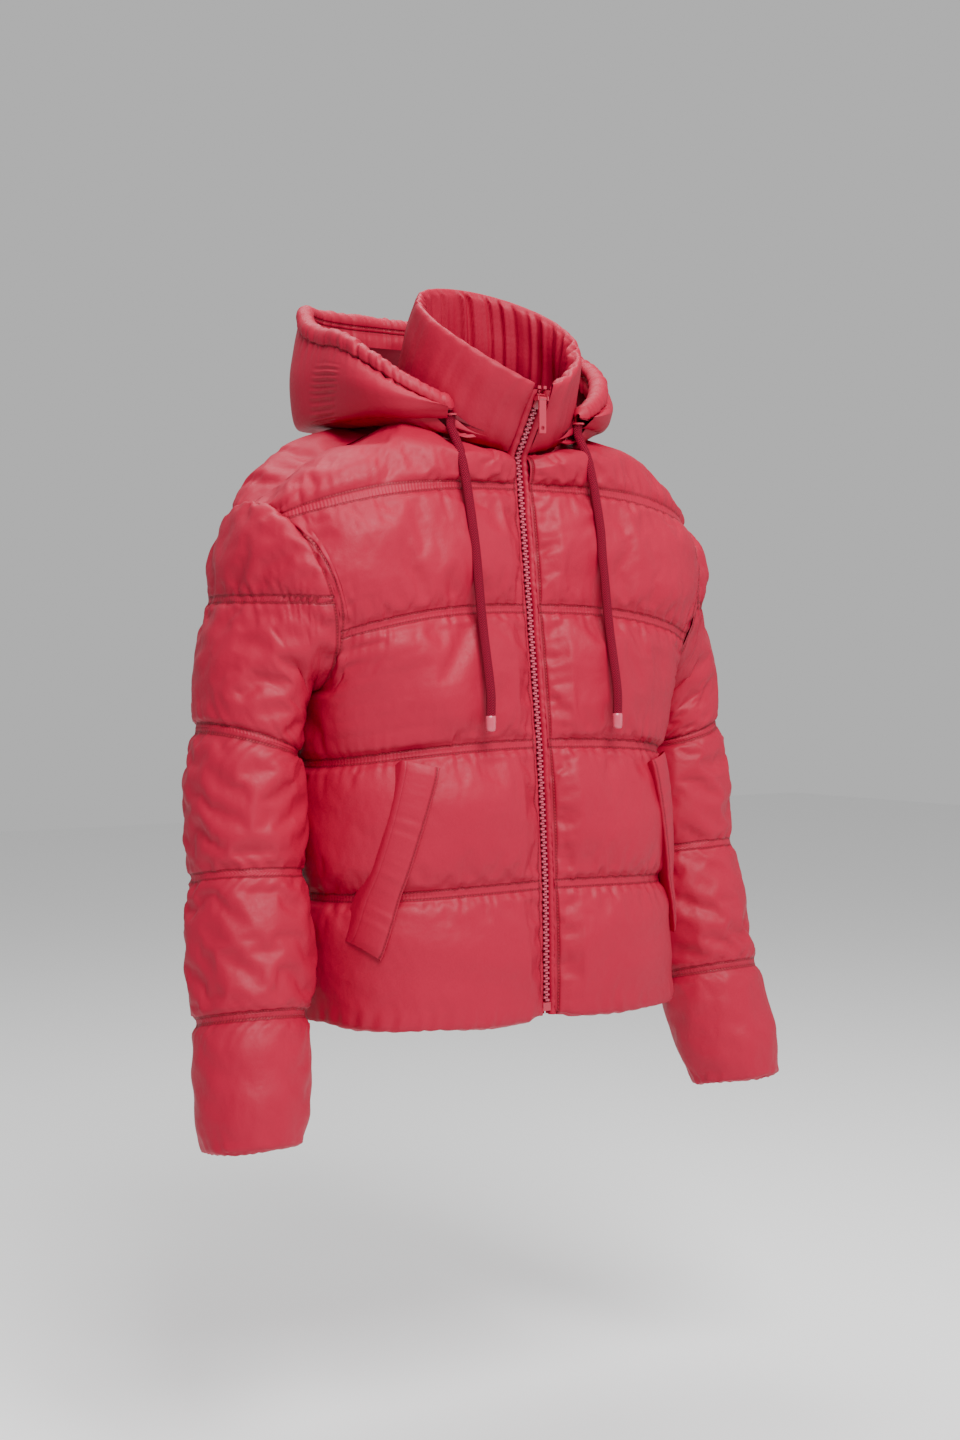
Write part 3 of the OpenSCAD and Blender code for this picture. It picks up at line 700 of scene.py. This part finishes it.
def collar_point(a, v):
    """a is degrees from the centre front round the wearer's left; v is 0 at the neck seam."""
    a = np.radians(a)
    back = (1 - np.cos(a)) / 2
    low = lerp(539.0, 576.0, np.sqrt(back))
    high = lerp(603.0, 716.0, back ** 0.7)
    c, ra, rb = lerp(-15.0, -50.0, v), lerp(90.0, 79.0, v), lerp(68.0, 75.0, v)
    x, y, z = np.broadcast_arrays(ra * np.sin(a), c - rb * np.cos(a), lerp(low, high, v))
    return np.stack([x, y, z], -1)


def off_collar(a, clearance):
    """Points of the neck seam at angles a, moved off the collar by clearance."""
    out = normals(collar_point(a[None, :], np.linspace(0, 1, 8)[:, None]))[0]
    return collar_point(a, 0.06) + out * clearance


def ramp(knots, count):
    """A smooth run through (v, offset) knots, evenly stepped."""
    k = np.array(knots, float)
    t = np.linspace(0, len(k) - 1, count)
    i = np.clip(t.astype(int), 0, len(k) - 2)
    f = (t - i)[:, None]
    before, after = k[np.clip(i - 1, 0, None)], k[np.clip(i + 2, None, len(k) - 1)]
    a, b = k[i], k[i + 1]
    ta, tb = (b - before) / 2, (after - a) / 2
    h = f * f * (3 - 2 * f)
    return a * (1 - h) + b * h + f * (1 - f) ** 2 * ta - f * f * (1 - f) * tb


def collar_grid(profile, count, around=230):
    a = np.linspace(COLLAR_OPEN, 360 - COLLAR_OPEN, around)
    run = ramp(profile, count)
    base = collar_point(a[None, :], run[:, :1])
    upright = normals(collar_point(a[None, :], np.linspace(0, 1, 8)[:, None]))[4]
    ends = np.sqrt(np.clip(np.minimum(a - COLLAR_OPEN, 360 - COLLAR_OPEN - a) / 7, 0.02, 1))
    return base, run[:, 1:] * ends[None, :], upright, a


def make_collar():
    """The shell, whose gathered inner facing runs down to the lining."""
    outer = [(0.0, 0), (0.12, 4), (0.4, 6), (0.7, 5.5), (0.9, 4.5), (0.96, 3), (0.975, 0),
             (0.95, -3), (0.9, -5), (0.72, -6), (0.5, -5.5), (0.34, -4), (0.31, -1.5)]
    base, offset, n, a = collar_grid(outer, 110)
    arc = a * 1.5
    rows = np.linspace(0, 1, 110)[:, None]
    folds = wander(arc[None, :] + 7 * np.sin(rows * 9), 24, 101, 3)
    rim = np.exp(-((rows - 0.56) / 0.1) ** 2)
    inside = smooth(0.55, 0.68, rows)
    depth = 0.5 + 1.2 * rim + 3.0 * inside
    g = base + n[None] * (offset + folds * depth + field(base, 55, 103) * 1.2)[..., None]
    shell = grid_object("collar_shell_padded", g, NYLON, layers=unsewn(g.shape, arc))
    inner = [(0.36, -4.5), (0.3, -5), (0.2, -5), (0.1, -4.5), (0.02, -3.5)]
    base, offset, n, a = collar_grid(inner, 40)
    rows = np.linspace(0, 1, 40)[:, None]
    folds = wander(arc[None, :] + 4 * np.sin(rows * 4), 13, 107) * np.exp(-rows * 1.4)
    g = base + n[None] * (offset + folds * 2.4 + field(base, 45, 109))[..., None]
    facing = grid_object("collar_lining", g, LINING, flip=False)
    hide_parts("collar_shell")
    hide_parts("collar_facing")
    for o in (shell, facing):
        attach(o, "torso")


# ---- Hood ----

HOOD_W, HOOD_D, HOOD_Y, HOOD_POWER = 151.0, 124.0, 30.0, 3.0
HOOD_END, HOOD_BASE, HOOD_RIM, HOOD_FRONT = 22.0, 575.0, 690.0, 582.0


def hood_plan(a, inset):
    a = np.radians(a)
    sx = np.abs(np.sin(a)) ** (2 / HOOD_POWER) * np.sign(np.sin(a))
    sy = np.abs(np.cos(a)) ** (2 / HOOD_POWER) * np.sign(np.cos(a))
    return (HOOD_W - inset) * sx, HOOD_Y - (HOOD_D - inset) * sy


def rim_z(a):
    end = math.cos(math.radians(HOOD_END))
    back = (end - np.cos(np.radians(a))) / (end + 1)
    return lerp(HOOD_FRONT, HOOD_RIM, np.minimum(1, np.clip(1.25 * back, 0, None) ** 0.8))


def hood_shape(profile, count, around, trim=0.0):
    """profile holds (inset, share of the wall's height, millimetres above that)."""
    raw = np.linspace(HOOD_END + trim, 360 - HOOD_END - trim, 600)
    x, y = hood_plan(raw, 4.0)
    a = np.interp(even(np.stack([x, y], -1), around), np.linspace(0, 1, 600), raw)
    run = ramp(profile, count)
    x, y = hood_plan(a[None, :], run[:, :1])
    z = lerp(HOOD_BASE, rim_z(a)[None, :], run[:, 1:2]) + run[:, 2:]
    return np.stack([x, y, np.broadcast_to(z, x.shape)], -1), a


def make_hood():
    """The hood's wall, its gathered rim casing and the lining inside the wall."""
    wall = [(20, 0, -2), (8, 0, -5), (0, 0, 1), (-4, 0.25, 2), (-5, 0.5, 0), (-2, 0.75, -3),
            (3, 1, -9)]
    g, a = hood_shape(wall, 100, 250, 3)
    rows = np.linspace(0, 1, 100)[:, None]
    arc = run_length(g[60])
    n = normals(g)
    corner = np.minimum(np.abs(a - 140), np.abs(a - 220)) * 2.2
    seam = -3.2 * np.exp(-(corner / 3.5) ** 2)
    ruche = wander(arc[None, :] + 9 * rows, 15, 201) * 1.8 * np.exp(-(1 - rows) * 9)
    low = wander(arc[None, :], 18, 203) * 1.5 * np.exp(-rows * 9)
    hand = np.where(a < 180, 1, -1)
    off = a[None, :] - (180 - 90 * hand) - 9 * (0.5 - rows) * hand
    patch = np.exp(-(off / 4) ** 4) * smooth(0.1, 0.25, rows) * smooth(0.85, 0.7, rows)
    ruche = ruche + 0.9 * np.sin(rows * 2 * math.pi * 17) * patch
    drag = field(g, 70, 205, (1, 1, 2.2)) * 2.6 * np.sin(math.pi * rows)
    tall = smooth(0, 40, rim_z(a) - HOOD_BASE)[None, :]
    g = g + n * ((seam[None, :] + drag) * tall + ruche + low)[..., None]
    z = np.zeros(g.shape[:2])
    layers = {"quilt": np.stack([z + arc, (1 - rows) * 70 + 5 + z], -1),
              "edge": np.stack([rows * 100 + z, corner + z], -1)}
    shell = grid_object("hood_shell_padded", g, NYLON, layers=layers)
    rim = [(3, 1, -9), (1.5, 1, -6), (1.5, 1, 0), (4, 1, 5), (9, 1, 7), (14, 1, 5), (17, 1, 0),
           (16, 1, -7), (15, 1, -11), (16, 1, -18), (15, 1, -26)]
    g, a = hood_shape(rim, 48, 460)
    rows = np.linspace(0, 1, 48)[:, None]
    arc = run_length(g[20])
    gather = wander(arc[None, :] + 6 * rows, 14, 211, 3) * 1.0
    g = g + normals(g) * (gather + field(g, 40, 213) * 1.2)[..., None]
    middle = g[:34].mean(0)
    pinch = np.sqrt(np.clip(np.minimum(arc, arc[-1] - arc) / 9, 0, 1))[None, :, None]
    g = middle + (g - middle) * lerp(0.25, 1, pinch)
    z = np.zeros(g.shape[:2])
    layers = {"quilt": np.stack([z + arc, np.abs(rows - 0.72) * 80 + z], -1),
              "edge": np.stack([z + arc, rows * 60 + z], -1)}
    casing = grid_object("hood_rim_casing", g, NYLON, layers=layers)
    inner = [(15, 1, -25), (14, 0.9, -22), (13, 0.5, -8), (14, 0.1, 2), (20, 0, 3)]
    g, a = hood_shape(inner, 30, 200, 4)
    g = g + normals(g) * (field(g, 50, 217, (1, 1, 2)) * 2.5)[..., None]
    lining_obj = grid_object("hood_inside", g, LINING)
    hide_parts("hood_right_panel", "hood_left_panel", "hood_centre_panel")
    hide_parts("hood_casing", "hood_drawcord")
    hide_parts("hood_lining")
    for o, s in ((shell, "shell_nylon"), (casing, "shell_nylon"), (lining_obj, "lining_fabric")):
        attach(o, "hood")


def make_skirt(name, first, last):
    """Part of the cloth between the neck seam and the hood's lower edge, from angle first to last.

    Its inner edge stays at the neck and its outer edge follows the hood."""
    a = np.linspace(first, last, 24)
    v = np.linspace(0, 1, 30)[:, None]
    px, py = hood_plan(a, 10)
    q = off_collar(a, 8)
    arc = a * 1.8
    x, y = lerp(px[None], q[None, :, 0], v), lerp(py[None], q[None, :, 1], v)
    z = lerp(HOOD_BASE - 3, q[None, :, 2] + 4, v) - 7 * np.sin(math.pi * v)
    g = np.stack([x, y, np.broadcast_to(z, x.shape)], -1)
    out = np.append(g[0, :, :2].mean(0) - g[-1, :, :2].mean(0), 0)
    out /= np.linalg.norm(out)
    gather = wander(arc[None, :], 15, 221) * 1.6 * v + field(g, 40, 223)
    g = g + np.array([0, 0, 1.0]) * gather[..., None]
    skirt = grid_object(name, g, NYLON, layers=unsewn(g.shape, arc))
    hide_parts("hood_base")
    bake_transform(skirt)


SKIRT_ANGLES = [32, 54, 76, 98, 118, 138, 158, 202, 222, 242, 262, 284, 306, 328]


def make_skirts():
    """Narrow parts, so that each one's outer edge can follow the hood in its own direction."""
    for k, (first, last) in enumerate(zip(SKIRT_ANGLES, SKIRT_ANGLES[1:])):
        make_skirt(f"hood_skirt_{k + 1}", first - 1, last + 1)


def make_hood_floor():
    """The hood's underside, which is its back once raised, and the lining billowing above it."""
    a = np.linspace(HOOD_END + 2, 358 - HOOD_END, 260)
    v = np.linspace(0, 1, 48)[:, None]
    px, py = hood_plan(a, 14)
    q = off_collar(a, 9)
    x, y = lerp(px[None], q[None, :, 0], v), lerp(py[None], q[None, :, 1], v)
    arch = np.sin(math.pi * v)
    low = lerp(HOOD_BASE + 1, q[None, :, 2] + 8, v) - 4 * arch
    tall = smooth(0, 90, rim_z(a) - HOOD_BASE)[None, :]
    flat = np.stack([x, y, np.broadcast_to(low, x.shape)], -1)
    under = flat + np.array([0, 0, 1.5]) * (field(flat, 45, 231) * arch)[..., None]
    arc = run_length(flat[12])
    billow = 34 * arch ** 0.8 * tall * (1 + 0.22 * wander(arc[None, :] + 30 * v, 55, 233))
    folds = wander(arc[None, :] + 26 * v, 20, 235, 3) * 3.5 * arch * tall
    above = flat + np.array([0, 0, 1.0]) * (4 + billow + folds)[..., None]
    floor = grid_object("hood_underside", under, NYLON, layers=unsewn(flat.shape, arc))
    cover = grid_object("hood_lining_folds", above, LINING)
    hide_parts("hood_base")
    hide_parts("hood_lining")
    for o, name in ((floor, "shell_nylon"), (cover, "lining_fabric")):
        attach(o, "hood")


# ---- Zip ----

TOOTH_PITCH = 5.2


def zip_line(z):
    """The zip's middle at height z, and its upward direction."""
    p = np.array([0.0, zip_y(z), z])
    q = np.array([0.0, zip_y(z + 2.0), z + 2.0])
    return p, (q - p) / np.linalg.norm(q - p)


def tooth_shape():
    """One tooth in its own axes: x away from its tape's edge, y forward, z up."""
    outline = [(-1.3, 0.9), (-0.9, 1.25), (0.2, 0.75), (0.9, 1.1), (3.4, 1.1)]
    loop = outline + [(x, -z) for x, z in reversed(outline)]
    inset = [(x * 0.9 + 0.1, z * 0.72) for x, z in loop]
    layers = [([p for p in loop], 0.9), ([p for p in loop], -0.6), ([p for p in inset], -1.15)]
    verts = [(x, y, z) for ring, y in layers for x, z in ring]
    n = len(loop)
    faces = [(k * n + i, k * n + (i + 1) % n, (k + 1) * n + (i + 1) % n, (k + 1) * n + i)
             for k in range(2) for i in range(n)]
    faces.append(tuple(range(2 * n, 3 * n)))
    faces.append(tuple(reversed(range(n))))
    return np.array(verts), faces


def make_teeth(side, shift, node):
    shape, shape_faces = tooth_shape()
    verts, faces = [], []
    z = 16 + shift
    while z < 592:
        p, up = zip_line(z)
        forward = np.cross(up, [1.0, 0, 0])
        forward *= -1 if forward[1] > 0 else 1
        base = len(verts)
        at = p + forward * 0.9
        verts += [at + np.array([side * v[0], 0, 0]) - forward * v[1] + up * v[2] for v in shape]
        faces += [tuple(base + i for i in (f if side < 0 else f[::-1])) for f in shape_faces]
        z += TOOTH_PITCH * up[2]
    mesh = bpy.data.meshes.new(node + "_moulded")
    mesh.from_pydata([tuple(row(v)) for v in verts], [], faces)
    mesh.materials.append(TOOTH)
    obj = bpy.data.objects.new(node + "_moulded", mesh)
    bpy.context.collection.objects.link(obj)
    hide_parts(node)
    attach(obj, "torso")


def make_zip_cloth(side, name):
    """The tape under the teeth and the rolled edge of the front beside it."""
    z = steps([3.0, 538.0, 600.0], 4.0)
    mid = np.stack([0 * z, np.array([zip_y(v) for v in z]), z], -1)
    across = np.array([0.7, 3, 6, 9, 12])
    g = mid[:, None] + np.array([1.0, 0, 0]) * across[None, :, None] * side + np.array([0, 1.2, 0])
    strip = grid_object(name + "_zip_tape_woven", g, TAPE, flip=side < 0)
    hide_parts(name + "_zip_tape")
    z = steps([2.0, 538.0, 598.0], 2.6)
    t = np.linspace(0, 2 * math.pi, 14, endpoint=False)
    crimp = wander(z, 11, 301 + side) * 0.7
    cx = 7.9 + 0.5 * wander(z, 50, 303 + side)
    cy = np.array([zip_y(v) for v in z]) + 0.5
    x = cx[:, None] + (3.9 + crimp[:, None] * 0.4) * np.cos(t)[None]
    y = cy[:, None] + (4.6 + crimp[:, None]) * np.sin(t)[None]
    g = np.stack([side * x, y, np.broadcast_to(z[:, None], x.shape)], -1)
    zeros = np.zeros(g.shape[:2])
    layers = {"quilt": np.stack([zeros, 40 + zeros], -1), "edge": np.stack([zeros, 40 + zeros], -1)}
    roll = grid_object(name + "_zip_fold", g, NYLON, True, layers, flip=side < 0)
    for o, s in ((strip, "zip_tape"), (roll, "shell_nylon")):
        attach(o, "torso")


# ---- Drawcord ends ----

CORD_ROUTE = [(76, -78, 573), (76, -78, 562), (76, -92, 541), (76, -101, 517), (76, -108, 492),
              (76, -114, 467), (75, -118, 442), (75, -122, 417), (75, -126, 390), (75, -131, 363),
              (75, -137, 336), (75, -142, 310), (75, -142, 290)]
TIP_LENGTH = 15.0


def make_cord(side, name):
    route = np.array(CORD_ROUTE, float) * [side, 1, 1]
    p = route
    for _ in range(4):
        p = finer(p, 0)
    sides = 20
    step = np.gradient(p, axis=0)
    step /= np.linalg.norm(step, axis=1, keepdims=True)
    across = np.array([1.0, 0, 0])
    out = np.cross(step, across)
    out /= np.linalg.norm(out, axis=1, keepdims=True)
    t = np.linspace(0, 2 * math.pi, sides, endpoint=False)
    r = CORD_WIDTH / 2
    flat = 0.78 * np.sin(t)[None, :, None] * out[:, None]
    g = p[:, None] + r * (np.cos(t)[None, :, None] * across + flat)
    run = run_length(p)
    around = np.minimum(t, 2 * math.pi - t) / math.pi * 16
    layers = {"quilt": np.stack(np.broadcast_arrays(run[:, None], around[None]), -1)}
    obj = grid_object(name + "_cord_braided", g, BRAID, True, layers, flip=False)
    tip = make_tip(route[-1], name)
    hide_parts(name + "_cord")
    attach(obj, name + "_cord_end")


def make_tip(at, name):
    profile = [(0, 4.2), (0.6, 4.9), (3, 5.2), (12.5, 5.1), (14.4, 4.4), (TIP_LENGTH, 3.2)]
    t = np.linspace(0, 2 * math.pi, 32, endpoint=False)
    g = np.array([[(at[0] + r * math.cos(u), at[1] + 0.85 * r * math.sin(u), at[2] - d) for u in t]
                  for d, r in profile])
    g = np.concatenate([g, np.broadcast_to(at - [0, 0, TIP_LENGTH], (1, 32, 3))])
    obj = grid_object(name + "_cord_tip_moulded", g, TIP, True, flip=True)
    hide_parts(name + "_cord_tip")
    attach(obj, name + "_cord_end")
    return obj


# ---- Pockets ----

WELT_LOW, WELT_TOP, WELT_W, WELT_L = (185.0, 74.0), (141.0, 246.0), 29.0, 176.0


def surface_y(grid, x, z):
    """The front shell's y nearest to each x, z, taken from its grid."""
    flat = grid.reshape(-1, 3)
    flat = flat[flat[:, 1] < -20]
    out = np.empty(x.shape)
    for i in np.ndindex(x.shape):
        w = np.exp(-((flat[:, 0] - x[i]) ** 2 + (flat[:, 2] - z[i]) ** 2) / (2 * 7.0 ** 2))
        mean = (w * flat[:, 1]).sum() / max(w.sum(), 1e-9)
        high = (w * (flat[:, 1] - mean) ** 2).sum() / max(w.sum(), 1e-9)
        out[i] = mean - 0.8 * math.sqrt(high)
    return out


def make_welt(side, name, panel):
    """A sewn pocket welt that follows the front shell's swell."""
    v = np.linspace(0, 1, 90)[:, None]
    half = [(-0.5, 14), (-0.52, 1), (-0.5, -1.6), (-0.42, -2.8), (-0.2, -3.4)]
    profile = np.array(half + [(0, -3.6)] + [(-across, y) for across, y in half[::-1]])
    u = profile[None, :, 0]
    x = lerp(WELT_LOW[0], WELT_TOP[0], v) + u * lerp(WELT_W - 11, WELT_W, v)
    z = lerp(WELT_LOW[1], WELT_TOP[1], v) + u * lerp(16, 7, v)
    x, z = np.broadcast_arrays(x, z)
    y = surface_y(panel["grid"] * [side, 1, 1], x[::6], z[::6])
    for k in range(y.shape[1]):
        even_y = np.polyval(np.polyfit(v[::6, 0], y[:, k], 2), v[::6, 0])
        y[:, k] = lerp(even_y - 2.5, y[:, k], 0.25)
    y = np.stack([np.interp(v[:, 0], v[::6, 0], y[:, k]) for k in range(y.shape[1])], 1)
    crimp = wander(v * WELT_L, 14, 401 + side) * 0.6 * (1 - np.abs(u) * 1.2)
    ends = np.sqrt(np.clip(np.minimum(v, 1 - v) * 22, 0.03, 1))
    y = y + profile[None, :, 1] * ends + crimp
    g = np.stack([side * x, y, z], -1)
    along = np.broadcast_to(v * WELT_L, x.shape)
    edge = np.broadcast_to(np.abs(np.abs(u + 0.02) * WELT_W - 11.5) + SEAM, x.shape)
    layers = {"quilt": np.stack([along, 40 + 0 * along], -1), "edge": np.stack([along, edge], -1)}
    obj = grid_object(name + "_pocket_welt_sewn", g, NYLON, layers=layers, flip=side < 0)
    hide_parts(name + "_pocket_welt")
    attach(obj, "torso")


PANELS = [
    torso_panel("right_front_shell", 1, -1, 11),
    torso_panel("left_front_shell", 1, 1, 23),
    torso_panel("right_back_shell", -1, -1, 37),
    torso_panel("left_back_shell", -1, 1, 41),
    sleeve_panel("right_sleeve_top", -1, SEAM_W, SPLIT, 53, False),
    sleeve_panel("right_sleeve_low", -1, SPLIT, 11.0, 61, True),
    sleeve_panel("left_sleeve_top", 1, SEAM_W, SPLIT, 71, False),
    sleeve_panel("left_sleeve_low", 1, SPLIT, 11.0, 83, True),
]
drape(PANELS)
SHELLS = {p["name"]: finish_panel(p) for p in PANELS}


def place_shells():
    """Hides the plain CAD solids that the shells stand for, and makes the fronts and backs follow
    the torso.
    """
    for name in ("right", "left"):
        front = SHELLS[name + "_front_shell"]
        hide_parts(name + "_front_panel", name + "_front_yoke", name + "_front_lining",
                    name + "_pocket_bag")
        back = SHELLS[name + "_back_shell"]
        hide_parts("back_panel", "back_yoke", "back_lining")
        top, low = SHELLS[name + "_sleeve_top"], SHELLS[name + "_sleeve_low"]
        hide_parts(name + "_upper_sleeve", name + "_upper_lining")
        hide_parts(name + "_forearm_sleeve", name + "_forearm_lining", name + "_cuff_binding")
        for o in (front, back):
            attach(o, "torso")
        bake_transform(top)
        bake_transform(low)
    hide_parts("hem_facing")


place_shells()
make_collar()
make_hood()
make_skirts()
make_hood_floor()
for side, name in ((-1, "right"), (1, "left")):
    make_zip_cloth(side, name)
    make_teeth(side, 0.0 if side > 0 else TOOTH_PITCH / 2, name + "_zip_teeth")
    make_cord(side, name)
    make_welt(side, name, next(p for p in PANELS if p["name"] == name + "_front_shell"))


def dress_cad_nodes():
    """The hard pieces keep their CAD shapes and get their finishes."""
    for node in ("zip_slider", "zip_pull", "zip_box", "zip_pin", "zip_top_stops", "right_eyelet",
                 "left_eyelet", "hanger_loop", "wind_flap"):
        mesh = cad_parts[node].data
        mesh.materials.clear()
        mesh.materials.append(TAPE if node in ("hanger_loop", "wind_flap") else PAINT)


dress_cad_nodes()
make_stage()
